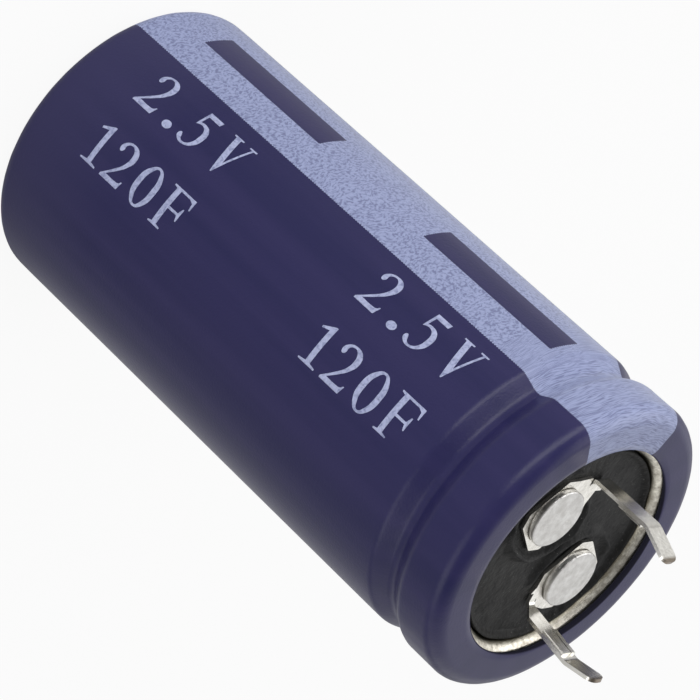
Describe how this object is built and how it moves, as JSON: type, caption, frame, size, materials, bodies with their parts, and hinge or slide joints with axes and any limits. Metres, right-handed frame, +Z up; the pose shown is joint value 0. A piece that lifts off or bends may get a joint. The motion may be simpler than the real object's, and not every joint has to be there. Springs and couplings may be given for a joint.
{
  "type": "supercapacitor",
  "caption": "Snap-in cylindrical supercapacitor: beaded aluminium can in a striped shrink sleeve, closed by a rubber-faced seal with two riveted snap-in lugs.",
  "frame": {"origin": "middle of the closed end, on the surface that it rests on", "axes": "+Z up the can's axis to the two terminals; the legs stand on the X axis, the negative one and the polarity stripe on the -X side"},
  "size_m": [0.0224, 0.0224, 0.0531],
  "materials": {
    "sleeve": "heat-shrunk PVC film, semi-gloss, dark blue",
    "print": "pale blue ink with a fine speckle",
    "can_aluminium": "bright drawn aluminium",
    "seal_rubber": "matt black, slightly dusty",
    "seal_board": "brown phenolic laminate",
    "lug_tin": "tinned, satin, with bright bent edges",
    "rivet_aluminium": "pressed aluminium, finely mottled",
    "tab_aluminium": "plain foil",
    "element": "carbon-coated foil and paper separator, soaked in electrolyte",
    "tape": "amber film",
    "insulator": "plain fibre paper"
  },
  "bodies": {
    "root": {"can": "can_aluminium", "sleeve": "sleeve", "polarity_stripe": "print", "phenolic_board": "seal_board", "rubber_seal": "seal_rubber", "negative_lug": "lug_tin", "positive_lug": "lug_tin", "negative_rivet": "rivet_aluminium", "positive_rivet": "rivet_aluminium", "negative_washer": "tab_aluminium", "positive_washer": "tab_aluminium", "negative_lead_tab": "tab_aluminium", "positive_lead_tab": "tab_aluminium", "wound_element": "element", "element_tape": "tape", "bottom_insulator": "insulator", "top_insulator": "insulator"}
  },
  "joints": []
}
